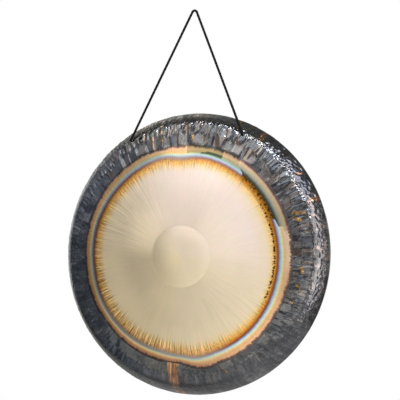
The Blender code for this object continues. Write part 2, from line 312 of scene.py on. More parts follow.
def hammer_marks():
    """(azimuth, s, half-width, half-length, tilt round, tilt out, tone, hue) of each facet."""
    found = []
    for at, count, long, wander, round_, out in (
        (0.833, 84, 0.036, 0.006, 4.6, 3.6), (0.912, 262, 0.034, 0.010, 8.0, 4.6),
        (0.953, 300, 0.011, 0.004, 9.0, 7.0), (0.973, 300, 0.010, 0.004, 9.0, 8.0),
        (0.994, 280, 0.012, 0.004, 8.0, 7.0), (1.020, 240, 0.015, 0.005, 5.0, 4.5),
        (1.050, 210, 0.017, 0.005, 4.0, 3.5), (1.081, 200, 0.016, 0.005, 4.0, 3.0),
        (1.110, 190, 0.014, 0.004, 3.0, 2.0), (1.136, 190, 0.012, 0.003, 2.0, 2.0),
    ):  # fmt: skip
        width = rng.uniform(0.55, 1.45, count)
        width *= 2 * math.pi / width.sum()
        a = np.cumsum(width) - width / 2 + rng.uniform(0, 2 * math.pi)
        found.append(
            np.stack(
                [
                    a,
                    at + rng.normal(0, wander, count),
                    width / 2,
                    long * rng.uniform(0.8, 1.25, count),
                    np.radians(round_) * rng.normal(0, 1, count),
                    np.radians(out) * rng.normal(0, 1, count),
                    rng.normal(0, 1, count),
                    rng.uniform(0, 1, count),
                ],
                1,
            )
        )
    found = np.concatenate(found)
    degrees = np.degrees(found[:, 0])
    found[:, 4:6] *= hammered(degrees)[:, None]
    # The left of the wall is struck harder, the right of it more softly.
    left = smoothstep(80, 50, np.abs(apart(degrees, -105.0))) * smoothstep(0.98, 1.02, found[:, 1])
    right = smoothstep(55, 35, np.abs(apart(degrees, 85.0))) * smoothstep(1.01, 1.04, found[:, 1])
    found[:, 4:6] *= (1 + 1.6 * left - 0.62 * right)[:, None]
    return found


MARKS = hammer_marks()
# How fast the section turns, in radians to a radius: a facet is flat, so it stands off
# the curved section by half of this times the square of the distance from its middle.
BENDING = np.gradient(SECTION_TURN, S)


def facets(sv, av):
    """Height in metres, tone, hue and nearness to a crease, over rows sv and angles av."""
    shape = (len(sv), len(av))
    total = np.full(shape, 4e-4)
    height, tone, hue = np.zeros(shape), np.zeros(shape), np.full(shape, 2e-4)
    best = np.full(shape, 4e-4)
    step = av[1] - av[0]
    for a, s, wide, long, tilt_round, tilt_out, tone_, hue_ in MARKS:
        rows = np.where(np.abs(sv - s) < 2.4 * long)[0]
        if not len(rows):
            continue
        first = math.ceil((a - 2.4 * wide - av[0]) / step)
        cols = np.arange(first, int((a + 2.4 * wide - av[0]) / step) + 1)
        da, ds = av[0] + cols * step - a, sv[rows] - s
        weight = np.exp(-3.0 * ((da / wide)[None, :] ** 2 + (ds / long)[:, None] ** 2))
        plane = tilt_round * GONG_R * s * da[None, :] + tilt_out * GONG_R * ds[:, None]
        plane += 0.45 * np.interp(s, S, BENDING) * GONG_R * (ds ** 2)[:, None]
        at = np.ix_(rows, cols % len(av))
        total[at] += weight
        height[at] += weight * plane
        tone[at] += weight * tone_
        hue[at] += weight * hue_
        best[at] = np.maximum(best[at], weight)
    crease = np.clip(2.2 * (1 - best / total) - 0.35, 0, 1)
    return height / total, tone / total, hue / total, crease


def stroke(s, degrees, start, end, wide):
    """How much a soft stroke from start to end, each (s, azimuth), covers each point: 1 along its middle, 0 at half-width wide (over the gong's radius)."""
    x, y = np.radians(apart(degrees, start[1])) * s, s - start[0]
    dx, dy = math.radians(apart(end[1], start[1])) * (start[0] + end[0]) / 2, end[0] - start[0]
    t = np.clip((x * dx + y * dy) / (dx * dx + dy * dy), 0, 1)
    return np.clip(1 - np.hypot(x - t * dx, y - t * dy) / wide, 0, 1)


# Folds and gashes that the hammer left, each (start, end, half-width, depth).
GASHES = [
    ((0.805, 69.8), (0.862, 71.3), 0.014, 1.2), ((0.868, 70.9), (0.915, 72.2), 0.012, 1.1),
]  # fmt: skip
for at in np.arange(76, 124, 4.6):
    at = at + rng.uniform(-1.2, 1.2)
    low = rng.uniform(0.835, 0.875)
    GASHES.append(((low, at), (low + rng.uniform(0.045, 0.07), at + rng.uniform(-1.2, 0.6)), rng.uniform(0.007, 0.011), rng.uniform(0.6, 1.0)))
for at in np.concatenate([np.arange(126, 178, 7.5), np.arange(-176, -100, 9.0)]):
    low = rng.uniform(0.82, 0.90)
    GASHES.append(((low, at + rng.uniform(-3, 3)), (low + rng.uniform(0.02, 0.05), at + rng.uniform(-3, 3)), 0.006, rng.uniform(0.2, 0.5)))

AMBER = [
    ((0.852, 68.8), (0.922, 71.0), 0.020, 1.0), ((0.848, 71.2), (0.886, 73.6), 0.019, 1.0),
    ((0.866, 75.0), (0.870, 77.5), 0.014, 0.6), ((0.869, 94.8), (0.880, 97.2), 0.022, 0.9),
    ((0.856, 102.8), (0.892, 105.8), 0.017, 0.8), ((0.850, 111.2), (0.868, 112.0), 0.016, 0.7),
    ((0.855, 159), (0.905, 158), 0.016, 0.6), ((0.87, 163), (0.90, 162.5), 0.012, 0.55),
    ((0.835, -14.3), (0.95, -14.6), 0.014, 0.65), ((0.815, -5.9), (0.88, -6.3), 0.015, 0.7),
    ((0.82, 1.6), (0.89, 2.2), 0.016, 0.7), ((0.93, -22.0), (1.06, -24.0), 0.015, 0.6),
    ((0.965, 21.0), (1.09, 19.6), 0.018, 0.7), ((0.99, -8.2), (1.06, -8.6), 0.010, 0.5),
]  # fmt: skip
COPPER = [
    ((0.785, -174.6), (1.07, -176.6), 0.062, 1.0), ((0.80, -19.6), (0.885, -19.2), 0.022, 0.55),
    ((0.98, 32.6), (1.10, 30.6), 0.034, 0.8), ((0.98, 53.5), (1.05, 54.5), 0.020, 0.55),
    ((1.005, 66.4), (1.10, 66.6), 0.046, 0.62), ((0.985, 73), (1.03, 74), 0.022, 0.4),
]  # fmt: skip


def rim_lines(s, degrees):
    found = np.zeros((3, *s.shape))
    for i, strokes in enumerate((COPPER, AMBER, GASHES)):
        for start, end, wide, much in strokes:
            found[i] = np.maximum(found[i], much * stroke(s, degrees, start, end, wide))
    return found


def surface(sv, av, behind):
    """Points, and the values that the finish reads, over rows sv and angles av."""
    s, a = np.meshgrid(sv, av, indexing="ij")
    degrees = np.degrees(a)
    height, tone, hue, crease = facets(sv, av)
    copper, amber, gash = rim_lines(s, degrees)
    on_rim = smoothstep(0.785, 0.812, s)
    slow = sum(
        math.sin(0.7 * i + 1.3 * n) * np.sin(n * a + i + 3 * s)
        for i, n in enumerate((9, 14, 21, 27, 33))
    )
    height = height + 0.00022 * slow * hammered(degrees) - 0.0006 * gash
    settle = 1 - 0.75 * smoothstep(1.06, 1.12, s)
    move = np.clip(height, -0.0016, 0.0016) * on_rim * settle - behind
    r, z, t = (np.interp(s, S, v) for v in SURFACE)
    r, z = r + np.sin(t) * move, z + np.cos(t) * move
    dx, dy = face_shift(s)
    points = np.stack([r * np.sin(a) + dx, r * np.cos(a) + dy, z], -1)

    blue, dark = blue_line(degrees), outer_edge(degrees)
    inside = np.maximum(blue - s, 0)
    first = dark_line(degrees)
    film = np.where(
        s >= blue,
        (s - blue) / (dark - blue),
        np.where(
            inside < first,
            -0.3 * inside / first,
            -0.3 - 0.7 * (inside - first) / (fade_out(degrees) - first),
        ),
    )
    film = np.clip(film, -2.5, 4.0)
    # Where the film is thicker: one long patch at the upper right, one short one above
    # that is olive with a dark line.
    begins = 30.4 + 5.6 * np.clip((0.5 - film) / 0.5, 0, 1)
    ends = 68 + 5 * smoothstep(0.0, 0.2, film) + 4 * smoothstep(0.45, 0.8, film)
    soft = 1 - 0.9 * smoothstep(0.38, 0.6, film)
    patch = np.minimum(apart(degrees, begins), apart(ends, degrees) * soft) * 0.012
    patch = np.minimum(patch, (film + 0.55) * 0.06)
    side = apart(degrees, 0.0)
    olive = smoothstep(-0.8, -0.4, side) * smoothstep(20.8, 20.4, side) * smoothstep(0.24, 0.36, film)
    ends_at = 0.36 + 0.18 * np.clip((side - 8) / 4, 0, 1)
    small = smoothstep(6, 9, side) * smoothstep(20.8, 20.4, side)
    small = olive + small * smoothstep(0.12, 0.20, film) * smoothstep(ends_at + 0.06, ends_at - 0.04, film)
    near = smoothstep(0.214, 0.240, s) * smoothstep(0.56, 0.36, s)
    # Painted light and shade on the face: lobes of painted reflection, painted shade along the edge of the boss, and
    # its lit and shaded sides.
    painted_fans = near_painted_fans(degrees) * near + far_painted_fans(degrees) * smoothstep(0.34, 0.54, s)
    painted_fans = painted_fans + boss_edge_shade(degrees) * smoothstep(0.185, 0.212, s) * smoothstep(0.240, 0.222, s)
    painted_fans = painted_fans + boss_side(degrees) * smoothstep(0.035, 0.165, s) * smoothstep(0.215, 0.185, s)
    values = {
        "polar": np.stack([np.sin(a), np.cos(a), s], -1),
        "film": np.stack([film, streaks(degrees), patch], -1),
        "look": np.stack([painted_fans, dull(degrees), small], -1),
        "tint": np.stack([brown(degrees), washed(degrees), amber_side(degrees)], -1),
        "facet": np.stack([tone * on_rim, hue, crease * on_rim], -1),
        "marks": np.stack([copper, amber, gash], -1),
    }
    return points, values


# ---------------------------------------------------------------- gong material


def polar_tools(m):
    """The sheet's own coordinates, and noises that run round it without a seam."""
    polar = m.node("ShaderNodeAttribute", attribute_name="polar").outputs["Vector"]
    split = m.node("ShaderNodeSeparateXYZ", {0: polar})

    def stretched(round_, out, detail=2.0, roughness=0.5, seed=0.0):
        """Noise with about round_ spots in a radian and out spots in a radius."""
        z = m.math("MULTIPLY_ADD", split.outputs[2], out / round_, seed)
        at = m.node("ShaderNodeCombineXYZ", {0: split.outputs[0], 1: split.outputs[1], 2: z})
        return m.noise(at.outputs[0], round_, detail, roughness)

    def by_azimuth(towards, low, high):
        """1 towards an azimuth, 0 away from it, by the cosine between them."""
        a = math.radians(towards)
        c = m.math(
            "ADD",
            m.math("MULTIPLY", split.outputs[0], math.sin(a)),
            m.math("MULTIPLY", split.outputs[1], math.cos(a)),
        )
        n = m.node("ShaderNodeMapRange", {0: c, 1: low, 2: high}, interpolation_type="SMOOTHSTEP")
        return n.outputs[0]

    def hairs(count, seed):
        """Uneven fine lines from the middle outwards, count of them all the way round, from -1 to 1."""
        angle = m.math("ARCTAN2", split.outputs[0], split.outputs[1])
        drift = m.math("MULTIPLY", stretched(20, 3.0, 2.0, 0.5, seed), 22.0)
        return m.math("SINE", m.math("MULTIPLY_ADD", angle, float(count), drift))

    return split.outputs[2], stretched, by_azimuth, hairs


def values_of(m, name):
    vector = m.node("ShaderNodeAttribute", attribute_name=name).outputs["Vector"]
    return m.node("ShaderNodeSeparateXYZ", {0: vector}).outputs


def grey(m, value):
    return m.node("ShaderNodeCombineXYZ", {0: value, 1: value, 2: value}).outputs[0]


def map_range(m, value, low, high, to_low=0.0, to_high=1.0):
    n = m.node("ShaderNodeMapRange", {0: value, 1: low, 2: high, 3: to_low, 4: to_high})
    return n.outputs[0]


CHAMPAGNE = srgb(248, 232, 204)


def ring_ramp(m, film, stops):
    """Colours by the film's value, from -1.6 to 1.4."""
    return m.ramp(map_range(m, film, -1.6, 1.4), [((f + 1.6) / 3.0, c) for f, c in stops])


def face_material():
    """The brushed face and its heat-tinted ring."""
    m = Nodes("gong_face")
    s, noise, by_azimuth, hairs = polar_tools(m)
    film, streak, patch = values_of(m, "film")
    painted_fan, muted, small = values_of(m, "look")
    browner, wash, amber = values_of(m, "tint")

    comb = m.math("SUBTRACT", noise(74, 2.5, 2.0, 0.6), 0.5)
    fine = m.math("SUBTRACT", noise(125, 5.0, 1.0, 0.5, 3.1), 0.5)
    broad = m.math("SUBTRACT", noise(24, 4.0, 2.0, 0.5, 7.7), 0.5)
    edge = m.math("SUBTRACT", noise(52, 24.0, 4.0, 0.75, 5.2), 0.5)
    grain = m.math("SUBTRACT", noise(95, 70.0, 3.0, 0.7, 13.0), 0.5)
    hair = m.math("MULTIPLY", hairs(228, 3.3), map_range(m, noise(30, 6.0, 2.0, 0.5, 2.2), 0.38, 0.60, 0.3, 1.0))
    both = m.math("ADD", m.math("MULTIPLY", comb, 0.60), m.math("MULTIPLY", fine, 1.1))
    both = m.math("MULTIPLY_ADD", hair, 0.16, both)
    inwards = map_range(m, film, -0.18, -0.70)
    shake = m.math("MULTIPLY", m.math("MULTIPLY", both, inwards), streak)
    shake = m.math("ADD", m.math("MULTIPLY", shake, 0.72), m.math("MULTIPLY", broad, 0.09))
    shake = m.math("ADD", shake, m.math("MULTIPLY", edge, map_range(m, film, 0.45, 0.95, 0.06, 0.80)))
    wavy = m.math("SUBTRACT", noise(17, 3.0, 3.0, 0.6, 21.0), 0.5)
    shake = m.math("ADD", shake, m.math("MULTIPLY", wavy, map_range(m, film, 0.55, 0.95, 0.0, 0.55)))
    at = m.math("ADD", film, shake)
    calm = m.math("ADD", film, m.math("MULTIPLY", edge, 0.18))

    light = ring_ramp(
        m, at,
        [
            (-1.60, CHAMPAGNE), (-1.38, srgb(248, 229, 194)), (-1.15, srgb(248, 224, 178)),
            (-1.00, srgb(250, 219, 164)), (-0.86, srgb(249, 211, 144)), (-0.72, srgb(245, 199, 118)),
            (-0.60, srgb(236, 180, 90)), (-0.50, srgb(223, 160, 68)), (-0.41, srgb(206, 134, 54)),
            (-0.33, srgb(172, 100, 46)), (-0.25, srgb(142, 86, 72)), (-0.17, srgb(138, 106, 124)),
            (-0.08, srgb(154, 158, 192)), (0.02, srgb(178, 204, 226)), (0.12, srgb(204, 230, 230)),
            (0.21, srgb(230, 240, 208)), (0.30, srgb(242, 228, 172)), (0.40, srgb(246, 212, 152)),
            (0.52, srgb(242, 196, 146)), (0.72, srgb(238, 196, 154)), (0.86, srgb(230, 186, 150)),
            (0.95, srgb(204, 158, 130)), (1.03, srgb(140, 110, 98)), (1.12, srgb(104, 94, 92)), (1.30, srgb(96, 93, 94)),
        ],
    )  # fmt: skip
    heavy = ring_ramp(
        m, at,
        [
            (-1.60, CHAMPAGNE), (-1.30, srgb(247, 231, 202)), (-1.10, srgb(243, 222, 184)),
            (-0.95, srgb(238, 210, 162)), (-0.80, srgb(240, 206, 144)), (-0.66, srgb(246, 202, 128)),
            (-0.55, srgb(238, 188, 112)), (-0.46, srgb(212, 160, 90)), (-0.38, srgb(172, 120, 72)),
            (-0.29, srgb(134, 92, 72)), (-0.20, srgb(118, 90, 96)), (-0.10, srgb(122, 114, 134)),
            (0.00, srgb(138, 144, 162)), (0.10, srgb(166, 178, 190)), (0.20, srgb(210, 214, 206)),
            (0.29, srgb(250, 240, 208)), (0.38, srgb(255, 232, 184)), (0.50, srgb(248, 206, 152)),
            (0.64, srgb(236, 186, 138)), (0.80, srgb(226, 180, 140)), (0.92, srgb(204, 162, 132)),
            (1.01, srgb(146, 116, 106)), (1.10, srgb(92, 84, 84)), (1.30, srgb(78, 78, 82)),
        ],
    )  # fmt: skip
    ring = m.mix(browner, light, heavy)
    on_line = m.math("MULTIPLY", map_range(m, film, -0.48, -0.30), map_range(m, film, 0.06, -0.08))
    ring = m.mix(m.math("MULTIPLY", on_line, wash), ring, srgb(184, 172, 166))
    inner = m.math("MULTIPLY", map_range(m, film, -1.1, -0.6), map_range(m, film, -0.26, -0.45))
    ring = m.mix(m.math("MULTIPLY", m.math("MULTIPLY", inner, wash), 0.34), ring, srgb(255, 232, 200))
    inner = m.math("MULTIPLY", map_range(m, at, -0.86, -0.66), map_range(m, at, -0.29, -0.37))
    ring = m.mix(m.math("MULTIPLY", inner, amber), ring, srgb(178, 124, 40))
    duller = m.math("MULTIPLY", muted, map_range(m, at, 0.02, 0.16))
    ring = m.mix(duller, ring, m.mix(1.0, ring, srgb(206, 220, 226), "MULTIPLY"))
    duller = m.math("MULTIPLY", muted, m.math("MULTIPLY", map_range(m, at, 0.04, 0.18), map_range(m, at, 0.60, 0.44)))
    ring = m.mix(duller, ring, m.mix(1.0, ring, srgb(206, 218, 232), "MULTIPLY"))
    # Painted light and shade on the ring's outer band: lighter on the right, darker at the lower right, and darker and
    # redder at the lower left.
    paler = m.math("MULTIPLY", by_azimuth(78, 0.91, 0.98), map_range(m, at, 0.40, 0.60))
    ring = m.mix(m.math("MULTIPLY", paler, map_range(m, at, 0.98, 0.90)), ring, srgb(254, 226, 196))
    deeper = m.math("MULTIPLY", map_range(m, at, 0.12, 0.34), map_range(m, at, 0.86, 0.62))
    deeper = m.math("MULTIPLY", by_azimuth(140, 0.906, 0.985), deeper)
    ring = m.mix(deeper, ring, m.mix(1.0, ring, (0.84, 0.79, 0.77), "MULTIPLY"))
    redder = m.math("MULTIPLY", by_azimuth(-155, 0.50, 0.90), map_range(m, at, 0.46, 0.70))
    ring = m.mix(redder, ring, m.mix(1.0, ring, (0.74, 0.65, 0.67), "MULTIPLY"))
    thick = ring_ramp(
        m, calm,
        [
            (-0.80, srgb(244, 204, 132)), (-0.65, srgb(222, 168, 84)), (-0.50, srgb(196, 142, 58)),
            (-0.32, srgb(172, 116, 46)), (-0.16, srgb(140, 96, 40)), (-0.03, srgb(92, 70, 44)),
            (0.08, srgb(58, 68, 62)), (0.20, srgb(86, 100, 96)), (0.31, srgb(128, 136, 126)),
            (0.44, srgb(172, 168, 148)), (0.60, srgb(188, 178, 152)), (0.78, srgb(206, 190, 156)),
            (0.90, srgb(212, 178, 142)), (0.98, srgb(170, 132, 114)), (1.05, srgb(110, 94, 90)),
            (1.25, srgb(96, 93, 94)),
        ],
    )  # fmt: skip
    ragged = m.math("ADD", patch, m.math("MULTIPLY", edge, 0.02))
    colour = m.mix(map_range(m, ragged, -0.002, 0.004), ring, thick)
    small = m.math("ADD", small, m.math("MULTIPLY", edge, 0.3))
    olive = m.mix(1.0, colour, (0.58, 0.66, 0.60), "MULTIPLY")
    colour = m.mix(map_range(m, small, 0.3, 0.7), colour, olive)
    colour = m.mix(m.math("MULTIPLY", map_range(m, small, 1.2, 1.6), 0.9), colour, srgb(62, 78, 64))

    # The tints are a little uneven from spot to spot.
    banded = m.math("MULTIPLY", map_range(m, film, -1.1, -0.5), map_range(m, film, 1.15, 1.0))
    pinker = m.mix(1.0, colour, (1.08, 0.86, 0.86), "MULTIPLY")
    colour = m.mix(m.math("MULTIPLY", map_range(m, grain, 0.02, 0.14), banded), colour, pinker)
    greener = m.mix(1.0, colour, (0.80, 0.90, 0.74), "MULTIPLY")
    colour = m.mix(m.math("MULTIPLY", map_range(m, grain, -0.02, -0.14), banded), colour, greener)

    # Its inner side is speckled red, yellow and brown.
    inner = m.math("MULTIPLY", map_range(m, at, -1.1, -0.7), map_range(m, film, -0.16, -0.34))
    dots = noise(100, 75.0, 1.0, 0.5, 31.0)
    redder = m.mix(1.0, colour, (1.04, 0.72, 0.50), "MULTIPLY")
    colour = m.mix(m.math("MULTIPLY", map_range(m, dots, 0.52, 0.60, 0.0, 0.75), inner), colour, redder)
    yellower = m.mix(1.0, colour, (1.0, 1.08, 0.60), "MULTIPLY")
    colour = m.mix(m.math("MULTIPLY", map_range(m, dots, 0.48, 0.40, 0.0, 0.75), inner), colour, yellower)
    browner_dots = map_range(m, noise(90, 55.0, 1.0, 0.5, 41.0), 0.42, 0.35, 0.0, 0.8)
    browner_dots = m.math("MULTIPLY", m.math("MULTIPLY", browner_dots, inner), streak)
    colour = m.mix(browner_dots, colour, m.mix(1.0, colour, (0.42, 0.34, 0.30), "MULTIPLY"))

    # Fine light and brown lines cross its inner side, most of all at the lower left.
    lines = m.math("MULTIPLY", m.math("MULTIPLY", map_range(m, film, -1.30, -0.85), map_range(m, film, -0.24, -0.42)), streak)
    lines = m.math("MULTIPLY", lines, m.math("MULTIPLY_ADD", by_azimuth(-138, 0.40, 0.92), 0.60, 0.30))
    mixed = m.math("MULTIPLY_ADD", fine, 2.0, hair)
    colour = m.mix(m.math("MULTIPLY", lines, map_range(m, mixed, 0.15, 0.95, 0.0, 0.65)), colour, srgb(255, 240, 212))
    brown_line = m.mix(1.0, colour, (0.58, 0.47, 0.40), "MULTIPLY")
    colour = m.mix(m.math("MULTIPLY", lines, map_range(m, mixed, -0.15, -0.95)), colour, brown_line)

    # Dark specks inside the ring, on the right.
    speck = noise(52, 52.0, 2.0, 0.6, 11.0)
    where = m.math("MULTIPLY", map_range(m, at, -1.0, -0.80), map_range(m, at, -0.48, -0.66))
    where = m.math("MULTIPLY", where, by_azimuth(88, 0.78, 0.93))
    inner = m.math("MULTIPLY", map_range(m, film, -0.75, -0.35), map_range(m, film, 0.05, -0.08))
    where = m.math("MAXIMUM", where, m.math("MULTIPLY", m.math("MULTIPLY", inner, 0.85), map_range(m, patch, -0.02, 0.03)))
    speck = map_range(m, m.math("MULTIPLY_ADD", where, 0.18, speck), 0.63, 0.68)
    speck = m.math("MULTIPLY", speck, map_range(m, where, 0.1, 0.5))
    colour = m.mix(speck, colour, srgb(58, 46, 20))

    # The face: rays from the middle, soft lobes of painted reflection and painted shade, and a little cloudiness.
    rays = m.math("ADD", m.math("MULTIPLY", comb, 0.5), m.math("MULTIPLY", fine, 0.5))
    rays = m.math("MULTIPLY_ADD", hair, 0.10, rays)
    strong = m.math("MULTIPLY_ADD", by_azimuth(-55, 0.80, 0.98), 0.50, 0.15)
    strong = m.math("MULTIPLY_ADD", by_azimuth(135, 0.93, 0.99), 0.20, strong)
    rays = m.math("MULTIPLY", m.math("MULTIPLY", rays, strong), map_range(m, s, 0.21, 0.36))
    cloud = m.math("SUBTRACT", noise(5.0, 5.0, 3.0, 0.6, 9.0), 0.5)
    tone = m.math("ADD", m.math("ADD", rays, painted_fan), 0.975)
    # Painted shade: the face is a little darker towards the upper right.
    tone = m.math("MULTIPLY_ADD", by_azimuth(50, -0.3, 0.5), -0.042, tone)
    warmer = m.math("MULTIPLY", map_range(m, s, 0.53, 0.66), m.math("MULTIPLY", amber, map_range(m, film, -0.8, -1.2)))
    colour = m.mix(warmer, colour, m.mix(1.0, colour, srgb(253, 246, 212), "MULTIPLY"))
    warmer = m.math("MULTIPLY", m.math("MULTIPLY", map_range(m, film, -1.9, -1.2), map_range(m, film, -0.7, -1.0)), amber)
    colour = m.mix(warmer, colour, m.mix(1.0, colour, srgb(254, 247, 214), "MULTIPLY"))
    # Painted reflection tint: the face is bluer towards the upper right, as from a cool light.
    cool_light_tint = m.math("MULTIPLY", by_azimuth(30, 0.0, 0.85), map_range(m, s, 0.08, 0.5, 0.4, 1.0))
    cool_light_tint = m.math("MULTIPLY", cool_light_tint, map_range(m, film, -0.6, -1.1))
    colour = m.mix(cool_light_tint, colour, m.mix(1.0, colour, (0.985, 0.985, 1.20), "MULTIPLY"))
    # Painted shade tint: the face is a little yellower towards the lower left, as in warmer, dimmer light.
    colour = m.mix(by_azimuth(-125, 0.5, 0.95), colour, m.mix(1.0, colour, (1.0, 0.995, 0.94), "MULTIPLY"))
    combed = m.math("MULTIPLY", m.math("MULTIPLY", map_range(m, film, -1.5, -0.9), map_range(m, film, -0.3, -0.6)), streak)
    tone = m.math("MULTIPLY_ADD", m.math("MULTIPLY", both, combed), 1.1, tone)
    tone = m.math("MULTIPLY_ADD", cloud, 0.08, tone)
    tint = noise(11.0, 11.0, 3.0, 0.6, 27.0)
    colour = m.mix(map_range(m, tint, 0.50, 0.66), colour, m.mix(1.0, colour, (1.015, 0.985, 1.01), "MULTIPLY"))
    colour = m.mix(map_range(m, tint, 0.50, 0.34), colour, m.mix(1.0, colour, (0.975, 0.995, 0.96), "MULTIPLY"))
    colour = m.mix(1.0, colour, grey(m, tone), "MULTIPLY")
    m.put(m.shader.inputs["Base Color"], colour)
    m.shader.inputs["Metallic"].default_value = 1.0
    m.put(m.shader.inputs["Roughness"], map_range(m, film, -1.0, 0.3, 0.40, 0.30))
    m.shader.inputs["Anisotropic"].default_value = 0.2
    m.put(m.shader.inputs["Tangent"], m.node("ShaderNodeTangent", direction_type="RADIAL", axis="Z").outputs[0])
    relief = m.math("ADD", m.math("MULTIPLY", comb, 0.7), fine)
    relief = m.math("MULTIPLY", relief, map_range(m, s, 0.15, 0.35))
    dent = map_range(m, noise(7.0, 12.0, 0.0, 0.5, 23.0), 0.66, 0.80)
    relief = m.math("MULTIPLY_ADD", m.math("MULTIPLY", dent, map_range(m, s, 0.28, 0.36)), -1.1, relief)
    bump = m.node("ShaderNodeBump", {"Strength": 0.22, "Distance": 0.0005, "Height": relief})
    m.put(m.shader.inputs["Normal"], bump.outputs[0])
    return m.material


def rim_material():
    """The hammered rim, dark with oxide under a clear lacquer."""
    m = Nodes("gong_rim")
    s, noise, by_azimuth, _ = polar_tools(m)
    film = values_of(m, "film")[0]
    tone, hue, crease = values_of(m, "facet")
    copper, amber, gash = values_of(m, "marks")

    streak = noise(75, 5.0, 3.0, 0.65, 1.0)
    fine = noise(180, 12.0, 2.0, 0.6, 4.0)
    blotch = noise(9, 9.0, 4.0, 0.6, 6.0)
    mottle = noise(46, 40.0, 3.0, 0.65, 8.0)
    shade = m.math("ADD", m.math("MULTIPLY", blotch, 0.55), m.math("MULTIPLY", mottle, 0.45))
    shade = m.math("MULTIPLY_ADD", tone, 0.05, shade)
    colour = m.ramp(
        shade,
        [
            (0.28, srgb(56, 58, 64)), (0.42, srgb(74, 76, 81)), (0.52, srgb(90, 91, 94)),
            (0.62, srgb(106, 105, 106)), (0.76, srgb(132, 124, 119)),
        ],
    )  # fmt: skip
    warm = m.math("MULTIPLY", map_range(m, hue, 0.62, 0.92), by_azimuth(25, -0.1, 0.6))
    colour = m.mix(m.math("MULTIPLY", warm, 0.5), colour, srgb(140, 120, 106))
    colour = m.mix(by_azimuth(-95, 0.1, 0.9), colour, m.mix(1.0, colour, (0.95, 1.10, 1.38), "MULTIPLY"))

    # The top of the wall is bluer to the right, with some olive.
    blue_wall = m.math("MULTIPLY", map_range(m, s, 0.94, 0.98), by_azimuth(35, 0.78, 0.95))
    colour = m.mix(m.math("MULTIPLY", blue_wall, 0.75), colour, srgb(66, 73, 86))
    olive = m.math("MULTIPLY", map_range(m, s, 0.95, 0.99), by_azimuth(0, 0.5, 0.85))
    olive = m.math("MULTIPLY", olive, map_range(m, noise(26, 9.0, 3.0, 0.7, 37.0), 0.48, 0.60, 0.0, 0.8))
    colour = m.mix(m.math("MULTIPLY", olive, 0.7), colour, srgb(108, 104, 80))

    # Copper and amber where the oxide broke.
    ragged = m.math("MULTIPLY", m.math("SUBTRACT", noise(40, 30.0, 4.0, 0.7, 12.0), 0.5), 1.3)
    in_copper = map_range(m, m.math("ADD", copper, ragged), 0.28, 0.52)
    in_copper = m.math("MULTIPLY", in_copper, map_range(m, copper, 0.0, 0.15))
    copper_colour = m.ramp(streak, [(0.36, srgb(92, 62, 54)), (0.50, srgb(160, 118, 90)), (0.64, srgb(196, 156, 118))])
    colour = m.mix(in_copper, colour, copper_colour)
    in_amber = map_range(m, m.math("MULTIPLY_ADD", ragged, 0.6, amber), 0.38, 0.60)
    in_amber = m.math("MULTIPLY", in_amber, map_range(m, amber, 0.0, 0.2))
    colour = m.mix(in_amber, colour, m.ramp(mottle, [(0.36, srgb(94, 74, 48)), (0.50, srgb(142, 108, 64)), (0.64, srgb(196, 150, 86))]))

    dark = m.math("MULTIPLY_ADD", m.math("SUBTRACT", streak, 0.5), 1.1, 1.0)
    dark = m.math("MULTIPLY_ADD", m.math("SUBTRACT", fine, 0.5), 0.6, dark)
    # Painted shade in the creases between facets and along the gashes.
    dark = m.math("MULTIPLY", dark, map_range(m, crease, 0.0, 1.0, 1.0, 0.55))
    dark = m.math("MULTIPLY", dark, map_range(m, gash, 0.15, 0.8, 1.0, 0.35))
    dark = m.math("MULTIPLY", dark, map_range(m, film, 1.2, 1.5, 0.9, 1.0))
    # The wall of the rim has broad bands from front to back.
    bands = m.math("SUBTRACT", noise(20, 1.0, 4.0, 0.7, 17.0), 0.5)
    bands = m.math("MULTIPLY", bands, map_range(m, s, 0.93, 0.97, 0.0, 2.4))
    dark = m.math("MULTIPLY", dark, m.math("ADD", bands, 1.0))
    # Painted shade: the shoulder and the top of the wall are much darker towards the bottom, a little to the left.
    dim = m.math("MULTIPLY", map_range(m, s, 0.925, 0.955), map_range(m, s, 1.06, 1.02))
    dim = m.math("MULTIPLY", dim, by_azimuth(-158, 0.62, 0.90))
    dark = m.math("MULTIPLY", dark, map_range(m, dim, 0.0, 1.0, 1.0, 0.34))
    # Painted shade: the wall is darker at the upper left.
    dim = m.math("MULTIPLY", map_range(m, s, 0.97, 1.01), by_azimuth(-50, 0.94, 0.99))
    dark = m.math("MULTIPLY", dark, map_range(m, dim, 0.0, 1.0, 1.0, 0.68))
    # Painted light: the outer wall at the top, a little left of the middle, is painted up to four times brighter, as a
    # reflection.
    painted_top_light = m.math("MULTIPLY", map_range(m, s, 1.01, 1.045), by_azimuth(-7, 0.88, 0.98))
    dark = m.math("MULTIPLY", dark, map_range(m, painted_top_light, 0.0, 1.0, 1.0, 4.2))
    colour = m.mix(1.0, colour, grey(m, dark), "MULTIPLY")
    m.put(m.shader.inputs["Base Color"], colour)
    # Short dark streaks of thick oxide on the left of the wall shine less.
    oxide = m.math("MULTIPLY", map_range(m, s, 0.965, 0.99), by_azimuth(-80, 0.0, 0.5))
    oxide = m.math("MULTIPLY", oxide, map_range(m, noise(70, 9.0, 2.0, 0.6, 51.0), 0.50, 0.60))
    m.put(m.shader.inputs["Metallic"], m.math("MULTIPLY_ADD", oxide, -0.8, 1.0))
    m.put(m.shader.inputs["Roughness"], map_range(m, mottle, 0.3, 0.7, 0.13, 0.26))
    m.shader.inputs["Coat Weight"].default_value = 0.6
    m.shader.inputs["Coat Roughness"].default_value = 0.05
    relief = m.math("ADD", m.math("MULTIPLY", streak, 1.0), m.math("MULTIPLY", mottle, 0.9))
    relief = m.math("ADD", relief, m.math("MULTIPLY", fine, 0.4))
    bump = m.node("ShaderNodeBump", {"Strength": 0.45, "Distance": 0.0008, "Height": relief})
    m.put(m.shader.inputs["Normal"], bump.outputs[0])
    return m.material


